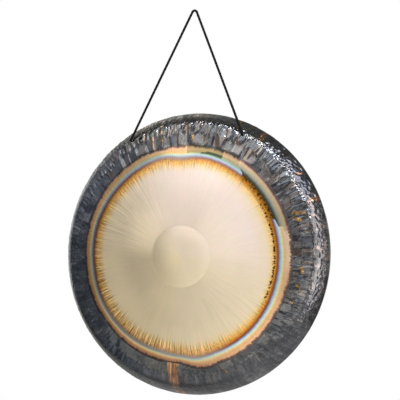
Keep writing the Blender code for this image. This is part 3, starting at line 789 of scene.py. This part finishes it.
def back_material():
    """The back: brown-grey oxide, turned and hammered, less bright than the face."""
    m = Nodes("gong_back")
    s, noise, by_azimuth, _ = polar_tools(m)
    turned = noise(3.0, 170.0, 2.0, 0.6, 1.0)
    blotch = noise(8, 9.0, 4.0, 0.6, 3.0)
    mottle = noise(40, 40.0, 3.0, 0.65, 8.0)
    base = m.ramp(
        s,
        [
            (0.00, srgb(150, 128, 96)), (0.60, srgb(142, 118, 84)), (0.68, srgb(128, 88, 48)),
            (0.72, srgb(84, 66, 70)), (0.76, srgb(104, 92, 86)), (0.80, srgb(70, 70, 76)), (0.95, srgb(62, 66, 76)),
        ],
    )  # fmt: skip
    shade = m.math("ADD", m.math("MULTIPLY", blotch, 1.0), m.math("MULTIPLY", mottle, 0.5))
    shade = m.math("MULTIPLY_ADD", turned, 0.5, shade)
    m.put(m.shader.inputs["Base Color"], m.mix(1.0, base, grey(m, shade), "MULTIPLY"))
    m.shader.inputs["Metallic"].default_value = 1.0
    m.put(m.shader.inputs["Roughness"], map_range(m, blotch, 0.3, 0.7, 0.34, 0.5))
    relief = m.math("ADD", m.math("MULTIPLY", turned, 0.5), mottle)
    bump = m.node("ShaderNodeBump", {"Strength": 0.4, "Distance": 0.0007, "Height": relief})
    m.put(m.shader.inputs["Normal"], bump.outputs[0])
    return m.material


# ---------------------------------------------------------------- gong mesh

FRONT_INNER = np.concatenate(
    [
        np.linspace(0, 0.200, 7)[1:], np.linspace(0.200, 0.236, 10)[1:],
        np.linspace(0.236, 0.60, 8)[1:], np.linspace(0.60, 0.690, 8)[1:],
    ]
)  # fmt: skip
FRONT_OUTER = np.concatenate(
    [
        np.linspace(0.700, 0.806, 11), np.linspace(0.806, 0.925, 16)[1:],
        np.linspace(0.925, 1.03, 26)[1:], np.linspace(1.03, 1.10, 9)[1:], np.linspace(1.10, 1.145, 7)[1:],
    ]
)  # fmt: skip
REAR_OUTER = np.linspace(1.145, 0.90, 18)
REAR_INNER = np.concatenate([np.linspace(0.885, 0.70, 10), np.linspace(0.70, 0.0, 14)[1:-1]])


def gong_mesh():
    points, values, faces, rows = [], {}, [], []
    count = 0
    for sv, around, behind in (
        (FRONT_INNER, 360, 0.0), (FRONT_OUTER, 1080, 0.0),
        (REAR_OUTER, 540, SHEET), (REAR_INNER, 180, SHEET),
    ):  # fmt: skip
        av = np.arange(around) / around * 2 * math.pi
        p, v = surface(sv, av, behind)
        if behind and sv[0] == SECTION[-1][0]:
            p[0, :, 2] = SECTION_Z[-1]
        if not behind and sv[-1] == SECTION[-1][0]:
            p[-1, :, 2] = SECTION_Z[-1]
        points.append(p.reshape(-1, 3))
        for key, value in v.items():
            values.setdefault(key, []).append(value.reshape(-1, 3))
        for i in range(len(sv)):
            rows.append(count + i * around + np.arange(around))
        count += len(sv) * around
    quads = []
    for upper, lower in zip(rows, rows[1:]):
        if len(upper) == len(lower):
            quads.append(np.stack([upper, lower, np.roll(lower, -1), np.roll(upper, -1)], -1))
            continue
        few, many = sorted((upper, lower), key=len)
        k = len(many) // len(few)
        for i in range(len(few)):
            here, there = few[i], few[(i + 1) % len(few)]
            span = [many[(k * i + j) % len(many)] for j in range(k + 1)]
            split = (k + 1) // 2
            new = [[here, span[j], span[j + 1]] for j in range(split)]
            new.append([here, span[split], there])
            new += [[there, span[j], span[j + 1]] for j in range(split, k)]
            faces += [[int(v) for v in f] for f in new]
    faces += np.concatenate(quads).tolist()
    top, bottom = count, count + 1
    dx, dy = face_shift(0.0)
    points.append(np.array([[dx, dy, SURFACE[1][0]], [dx, dy, SURFACE[1][0] - SHEET]]))
    for row, tip in ((rows[0], top), (rows[-1], bottom)):
        for a, b in zip(row, np.roll(row, -1)):
            faces.append([tip, int(a), int(b)])
    for key, found in values.items():
        middle = {"polar": (0, 0, 0), "film": (-2.5, 0, -1)}.get(key, (0, 0, 0))
        values[key] = np.concatenate([*found, [middle, middle]])
    mesh = bpy.data.meshes.new("gong")
    mesh.from_pydata(np.concatenate(points).tolist(), [], faces)
    mesh.validate()
    bm = bmesh.new()
    bm.from_mesh(mesh)
    bmesh.ops.recalc_face_normals(bm, faces=bm.faces)
    bm.to_mesh(mesh)
    bm.free()
    return mesh, np.concatenate(points), values


gong_data, gong_points, gong_values = gong_mesh()
gong = bpy.data.objects.new("gong", gong_data)
scene.collection.objects.link(gong)
gong.matrix_world = GONG_FRAME

# The two drilled holes.
for side, angle in (("left", left_angle), ("right", right_angle)):
    out = Vector(
        (
            math.sin(HOLE_TURN) * math.sin(angle),
            math.sin(HOLE_TURN) * math.cos(angle),
            math.cos(HOLE_TURN),
        )
    )
    mouth = Vector((HOLE_R_AT * math.sin(angle), HOLE_R_AT * math.cos(angle), HOLE_Z_AT))
    drill_mesh = bpy.data.meshes.new(f"drill_{side}")
    bm = bmesh.new()
    bmesh.ops.create_cone(
        bm, cap_ends=True, segments=40, radius1=HOLE_R, radius2=HOLE_R, depth=0.012
    )
    bm.to_mesh(drill_mesh)
    bm.free()
    drill = bpy.data.objects.new(f"drill_{side}", drill_mesh)
    scene.collection.objects.link(drill)
    drill.matrix_world = (
        GONG_FRAME @ Matrix.Translation(mouth) @ out.to_track_quat("Z", "Y").to_matrix().to_4x4()
    )
    cut = gong.modifiers.new(f"hole_{side}", "BOOLEAN")
    cut.operation = "DIFFERENCE"
    cut.solver = "EXACT"
    cut.object = drill
bpy.context.view_layer.update()
cut_mesh = bpy.data.meshes.new_from_object(
    gong.evaluated_get(bpy.context.evaluated_depsgraph_get())
)
gong.modifiers.clear()
gong.data = cut_mesh
for side in ("left", "right"):
    bpy.data.objects.remove(bpy.data.objects[f"drill_{side}"], do_unlink=True)

# Each point takes the values of the surface point that it was made from.
places = KDTree(len(gong_points))
for i, p in enumerate(gong_points):
    places.insert(p, i)
places.balance()
nearest = np.array([places.find(v.co)[1] for v in cut_mesh.vertices])
for key, value in gong_values.items():
    layer = cut_mesh.attributes.new(key, "FLOAT_VECTOR", "POINT")
    layer.data.foreach_set("vector", np.ascontiguousarray(value[nearest], np.float32).ravel())

for found in (face_material(), rim_material(), back_material()):
    cut_mesh.materials.append(found)
rear = len(gong_points) - 2 - (len(REAR_OUTER) * 540 + len(REAR_INNER) * 180)
is_rear = ((nearest >= rear) & (nearest != len(gong_points) - 2)).astype(float)
film = gong_values["film"][nearest, 0]
loops = np.zeros(len(cut_mesh.loops), np.int32)
cut_mesh.loops.foreach_get("vertex_index", loops)
starts = np.zeros(len(cut_mesh.polygons), np.int32)
cut_mesh.polygons.foreach_get("loop_start", starts)
sizes = np.diff(np.append(starts, len(loops)))
mean_film = np.add.reduceat(film[loops], starts) / sizes
mean_rear = np.add.reduceat(is_rear[loops], starts) / sizes
index = np.where(mean_rear > 0.6, 2, np.where(mean_film > 1.30, 1, 0))
cut_mesh.polygons.foreach_set("material_index", index.astype(np.int32))
cut_mesh.shade_smooth()
cut_mesh.set_sharp_from_angle(angle=math.radians(50))

# ---------------------------------------------------------------- cord


def cord_material():
    m = Nodes("black_braid")
    coords = m.node("ShaderNodeTexCoord").outputs["UV"]
    uv = m.node("ShaderNodeSeparateXYZ", {0: coords})
    u, v = uv.outputs[0], uv.outputs[1]
    a = m.math("SINE", m.math("MULTIPLY", m.math("ADD", m.math("MULTIPLY", u, 8.0), v), 2 * math.pi))
    b = m.math("SINE", m.math("MULTIPLY", m.math("SUBTRACT", m.math("MULTIPLY", u, 8.0), v), 2 * math.pi))
    weave = m.math("MAXIMUM", a, b)
    colour = m.ramp(weave, [(0.0, (0.001, 0.001, 0.001)), (1.0, (0.006, 0.006, 0.0065))])
    m.put(m.shader.inputs["Base Color"], colour)
    m.shader.inputs["Roughness"].default_value = 0.75
    m.shader.inputs["Specular IOR Level"].default_value = 0.12
    m.shader.inputs["Sheen Weight"].default_value = 0.01
    bump = m.node("ShaderNodeBump", {"Strength": 0.5, "Distance": 0.0004, "Height": weave})
    m.put(m.shader.inputs["Normal"], bump.outputs[0])
    return m.material


braid = cord_material()


def smooth_path(points, step):
    """The points of a Catmull-Rom curve through points, about step apart."""
    p = [Vector(q) for q in points]
    p = [p[0] * 2 - p[1], *p, p[-1] * 2 - p[-2]]
    found = []
    for i in range(1, len(p) - 2):
        a, b, c, d = p[i - 1 : i + 3]
        n = max(2, int((c - b).length / step))
        for k in range(n):
            t = k / n
            found.append(
                0.5
                * (
                    2 * b
                    + (c - a) * t
                    + (2 * a - 5 * b + 4 * c - d) * t * t
                    + (3 * b - a - 3 * c + d) * t ** 3
                )
            )
    found.append(p[-2])
    return found


def tube(name, path, radius, sides=16):
    """A closed tube along path, with a woven surface, and UVs that run along it."""
    path = [Vector(q) for q in path]
    tangents = [
        (path[min(i + 1, len(path) - 1)] - path[max(i - 1, 0)]).normalized()
        for i in range(len(path))
    ]
    normal = tangents[0].orthogonal().normalized()
    along, verts, uvs = 0.0, [], []
    for i, (q, t) in enumerate(zip(path, tangents)):
        if i:
            along += (q - path[i - 1]).length
            normal = (normal - t * normal.dot(t)).normalized()
        other = t.cross(normal)
        for k in range(sides):
            phi = 2 * math.pi * k / sides
            weave = max(
                math.sin(8 * phi / 2 + along / 0.0016), math.sin(8 * phi / 2 - along / 0.0016)
            )
            rad = radius * (0.975 + 0.04 * weave)
            verts.append(q + (normal * math.cos(phi) + other * math.sin(phi)) * rad)
            uvs.append((k / sides, along / 0.010))
    faces = []
    for i in range(len(path) - 1):
        for k in range(sides):
            l = (k + 1) % sides
            faces.append((i * sides + k, i * sides + l, (i + 1) * sides + l, (i + 1) * sides + k))
    first, last = len(verts), len(verts) + 1
    verts += [path[0] - tangents[0] * radius * 0.3, path[-1] + tangents[-1] * radius * 0.3]
    base = (len(path) - 1) * sides
    for k in range(sides):
        l = (k + 1) % sides
        faces.append((first, l, k))
        faces.append((last, base + k, base + l))
    mesh = bpy.data.meshes.new(name)
    mesh.from_pydata([tuple(v) for v in verts], [], faces)
    layer = mesh.uv_layers.new(name="UVMap")
    for polygon in mesh.polygons:
        for loop in polygon.loop_indices:
            v = mesh.loops[loop].vertex_index
            u_, v_ = uvs[v] if v < len(uvs) else (0.5, 0.0)
            if polygon.index % sides == sides - 1 and u_ == 0.0 and len(polygon.vertices) == 4:
                u_ = 1.0
            layer.data[loop].uv = (u_, v_)
    mesh.shade_smooth()
    mesh.materials.append(braid)
    obj = bpy.data.objects.new(name, mesh)
    scene.collection.objects.link(obj)
    return obj


def on_leg(foot, z):
    return MEETING.lerp(foot, (MEETING.z - z) / (MEETING.z - foot.z))


SPLIT_Z = -0.150
FUZZY_R = CORD_R * 1.36  # fibres stand off the braid
arc = []
start, end = -math.pi / 2 + lean_left, math.pi / 2 - lean_right
for i in range(13):
    a = start + (end - start) * i / 12
    arc.append(
        Vector((bend_centre.x + BEND_R * math.sin(a), 0, bend_centre.y + BEND_R * math.cos(a)))
    )
STEP = 0.0008


def straight(a, b, step=STEP):
    n = max(1, int((b - a).length / step))
    return [a.lerp(b, i / n) for i in range(n)]


left_split, right_split = on_leg(PIVOT_LEFT, SPLIT_Z), on_leg(PIVOT_RIGHT, SPLIT_Z)
upper_path = (
    straight(left_split, arc[0]) + smooth_path(arc, STEP)[:-1] + straight(arc[-1], right_split) + [right_split]
)
upper = tube("cord_over_hook", upper_path, FUZZY_R)
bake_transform(upper)
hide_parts("cord_bight", "cord_leg_left", "cord_leg_right")

# The stopper at each hole is an overhand knot. Its shape is counted in KNOT_UNIT:
# x runs along the cord, y is the way that the knot lies to one side of it.
KNOT_UNIT = 0.00205
KNOT_CORD_R = 0.00195  # the cord is squeezed where it is drawn tight


def overhand():
    points = [Vector((-3.6, -3.0, 0.6)), Vector((-2.0, -3.05, 0.9)), Vector((-0.6, -3.02, 0.98))]
    for i in range(25):
        t = math.pi + 0.38 + (2 * math.pi - 0.76) * i / 24
        points.append(
            Vector(
                (
                    math.sin(t) + 2 * math.sin(2 * t),
                    math.cos(t) - 2 * math.cos(2 * t),
                    -math.sin(3 * t),
                )
            )
        )
    points += [Vector((0.6, -3.02, -0.98)), Vector((2.0, -3.05, -0.9))]
    return points


for side, angle, pivot, split in (
    ("left", left_angle, PIVOT_LEFT, left_split),
    ("right", right_angle, PIVOT_RIGHT, right_split),
):
    out = Vector(
        (
            math.sin(HOLE_TURN) * math.sin(angle),
            -math.cos(HOLE_TURN),
            math.sin(HOLE_TURN) * math.cos(angle),
        )
    )
    along = (split - pivot).normalized()
    # The knot's near side bears on the back of the sheet, 0.3 mm clear of it.
    knot_middle = PIVOT_OFF + SHEET + 0.0005 + 2.62 * KNOT_UNIT + KNOT_CORD_R
    aside = Vector((math.cos(angle), 0, -math.sin(angle))) * (1 if side == "left" else -1)
    third = out.cross(aside)

    def placed(q):
        """A point of the knot's own shape, in the gong's frame."""
        return (
            pivot
            - out * (knot_middle + q.x * KNOT_UNIT)
            + aside * (q.y + 3.0) * KNOT_UNIT
            + third * q.z * KNOT_UNIT
        )

    inside = placed(Vector((-3.2, -3.0, 0.55)))
    turn_in = smooth_path(
        [pivot + along * 0.012, pivot + along * 0.0045, pivot - out * 0.0002, pivot - out * 0.0050, inside], STEP
    )
    path = straight(split, pivot + along * 0.012) + turn_in
    path[0] = split + along * 0.0006
    lower = tube(f"cord_to_{side}_hole", path, FUZZY_R)

    ends = placed(Vector((2.6, -3.0, -0.85)))
    tail = [
        ends - out * 0.0022 + Vector((0, 0, -0.0008)),
        ends - out * 0.0048 + Vector((0, 0, -0.0036)),
        ends - out * 0.0062 + Vector((0, 0, -0.0080)),
        ends - out * 0.0066 + Vector((0, 0, -0.0125)),
    ]
    knot_path = smooth_path([placed(q) for q in overhand()] + [ends] + tail, STEP)
    knot = tube(f"stopper_knot_{side}", knot_path, KNOT_CORD_R)
    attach(knot, "gong")
    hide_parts(f"cord_knot_{side}")

    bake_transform(lower)
    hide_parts(f"cord_leg_{side}")

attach(gong, "gong")
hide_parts("gong_plate")

# ---------------------------------------------------------------- studio


def direction(azimuth, elevation):
    """Unit vector towards an azimuth, in degrees to the right of the gong's front, and an elevation."""
    a, e = math.radians(azimuth), math.radians(elevation)
    return Vector((math.sin(a) * math.cos(e), -math.cos(a) * math.cos(e), math.sin(e)))


def softbox(name, start, end, wide, bright, colour=(1, 1, 1), distance=4.0):
    """A lit rectangle seen from the gong's middle: it reaches from one direction to another, each (azimuth, elevation), and is wide degrees across that line. bright is how bright it looks."""
    a, b = direction(*start), direction(*end)
    facing = (a + b).normalized()
    along = (b - a).normalized()
    along = (along - facing * along.dot(facing)).normalized()
    across = facing.cross(along)
    reach = distance / facing.dot(a)
    data = bpy.data.lights.new(name, "AREA")
    data.shape = "RECTANGLE"
    data.size = (b - a).length * reach
    data.size_y = 2 * distance * math.tan(math.radians(wide / 2))
    data.energy = bright * math.pi * data.size * data.size_y
    data.color = colour
    light = bpy.data.objects.new(name, data)
    scene.collection.objects.link(light)
    turn_ = Matrix((along, across, facing)).transposed().to_4x4()
    if turn_.determinant() < 0:
        turn_ = Matrix((along, -across, facing)).transposed().to_4x4()
    light.matrix_world = Matrix.Translation(GONG_CENTRE + facing * distance) @ turn_
    light.visible_camera = False
    return light


def panel(name, west, east, low, high, colour):
    """A lit rectangle that faces the gong and covers these azimuths and elevations, in degrees. colour is how bright it looks, in each of red, green and blue."""
    middle = direction((west + east) / 2, (low + high) / 2)
    side = direction(east, (low + high) / 2) - direction(west, (low + high) / 2)
    side = (side - middle * side.dot(middle)).normalized()
    bright = max(colour)
    data = bpy.data.lights.new(name, "AREA")
    data.shape = "RECTANGLE"
    reach = 2 * PANEL_DISTANCE
    data.size = reach * math.tan(math.radians(east - west) / 2) * math.cos(math.radians((low + high) / 2))
    data.size_y = reach * math.tan(math.radians(high - low) / 2)
    data.energy = bright * math.pi * data.size * data.size_y
    data.color = [c / bright for c in colour]
    light = bpy.data.objects.new(name, data)
    scene.collection.objects.link(light)
    turn_ = Matrix((side, middle.cross(side), middle)).transposed().to_4x4()
    light.matrix_world = Matrix.Translation(GONG_CENTRE + middle * PANEL_DISTANCE) @ turn_
    light.visible_camera = False
    return light


PANEL_DISTANCE = 4.4
panel("key", -30, 0, 0, 30, (0.60, 0.56, 0.42))
panel("window", -30, 0, 15, 30, (0.36, 0.39, 0.58))
panel("window_low", -15, 0, 0, 15, (0.44, 0.42, 0.60))
panel("front_low", -15, 0, -30, 0, (0.50, 0.50, 0.45))
panel("low_left", -45, -15, -30, -15, (0.54, 0.49, 0.36))
panel("low_right", -13, 38, -22, -13, (1.60, 1.53, 1.38))
panel("right", 15, 30, -15, 30, (0.77, 0.78, 0.84))
panel("top_left", -60, -15, 30, 60, (1.02, 0.98, 0.80))
panel("top_middle", -30, -15, 28, 45, (1.9, 1.75, 1.5))
panel("top_right", -15, 30, 30, 60, (1.8, 2.05, 2.3))
panel("far_right", 60, 86, -28, 30, (2.1, 2.0, 1.9))
panel("far_side", 86, 102, -28, 30, (4.0, 3.75, 3.75))
panel("far_right_high", 62, 106, 30, 58, (4.3, 4.1, 4.2))
panel("high_right", 36, 60, 28, 52, (3.0, 2.9, 2.9))
panel("far_right_low", 45, 60, -30, 0, (0.36, 0.36, 0.42))
panel("upper_left", -66, -40, 8, 32, (0.48, 0.44, 0.44))
panel("above", -30, -14, 19, 31, (0.76, 0.66, 0.52))
softbox("strip", (0, 68), (53, 41), 4.5, 50.0, (0.96, 0.98, 1.0))
softbox("top_strip", (-34, 41), (-14, 44), 2.5, 6.0, (1.0, 0.97, 0.92))

floor_mesh = bpy.data.meshes.new("floor")
bm = bmesh.new()
bmesh.ops.create_circle(bm, cap_ends=True, segments=64, radius=3.0)
bm.to_mesh(floor_mesh)
bm.free()
floor = bpy.data.objects.new("floor", floor_mesh)
scene.collection.objects.link(floor)
floor.location = (0, 0, -2.6)
floor_material = Nodes("floor")
floor_material.shader.inputs["Base Color"].default_value = (0.58, 0.58, 0.575, 1)
floor_material.shader.inputs["Roughness"].default_value = 0.9
floor_mesh.materials.append(floor_material.material)

# The room: white to the camera. The gong sees dim walls, a pale floor and a pale
# backdrop straight behind it.
world = bpy.data.worlds.new("studio")
scene.world = world
world.use_nodes = True
tree = world.node_tree
tree.nodes.clear()


def world_node(kind, inputs=(), **settings):
    n = tree.nodes.new(kind)
    for key, value in settings.items():
        setattr(n, key, value)
    for key, value in dict(inputs).items():
        if isinstance(value, bpy.types.NodeSocket):
            tree.links.new(value, n.inputs[key])
        else:
            n.inputs[key].default_value = value
    return n


def smooth_between(value, low, high, to_low, to_high):
    return world_node(
        "ShaderNodeMapRange", {0: value, 1: low, 2: high, 3: to_low, 4: to_high},
        interpolation_type="SMOOTHSTEP",
    ).outputs[0]  # fmt: skip


def combined(operation, a, b):
    return world_node("ShaderNodeMath", {0: a, 1: b}, operation=operation).outputs[0]


towards = world_node("ShaderNodeTexCoord").outputs["Generated"]
across, deep_, height = world_node("ShaderNodeSeparateXYZ", {0: towards}).outputs
level = combined("ABSOLUTE", combined("SUBTRACT", height, 0.09), 0.0)
backdrop = combined(
    "MULTIPLY", smooth_between(deep_, 0.25, 0.6, 0.0, 1.0), smooth_between(level, 0.07, 0.36, 0.48, 0.0)
)
to_left = world_node(
    "ShaderNodeVectorMath", {0: towards, 1: tuple(direction(-101, 15))}, operation="DOT_PRODUCT"
).outputs["Value"]
left_wall = smooth_between(to_left, 0.85, 0.96, 0.0, 0.50)
ground = combined(
    "MULTIPLY", smooth_between(height, -0.08, -0.26, 0.0, 0.3), smooth_between(across, -0.8, -0.2, 0.0, 1.0)
)
ground = combined("MULTIPLY", ground, smooth_between(deep_, 0.2, -0.2, 0.0, 1.0))
walls = combined("ADD", combined("ADD", backdrop, left_wall), combined("ADD", ground, 0.24))
room = world_node("ShaderNodeBackground", {0: (1.0, 0.98, 0.92, 1), 1: walls})
white = world_node("ShaderNodeBackground", {0: (1, 1, 1, 1), 1: 1.0})
seen = world_node("ShaderNodeLightPath").outputs["Is Camera Ray"]
both = world_node(
    "ShaderNodeMixShader", {0: seen, 1: room.outputs[0], 2: white.outputs[0]}
)
world_node("ShaderNodeOutputWorld", {0: both.outputs[0]})
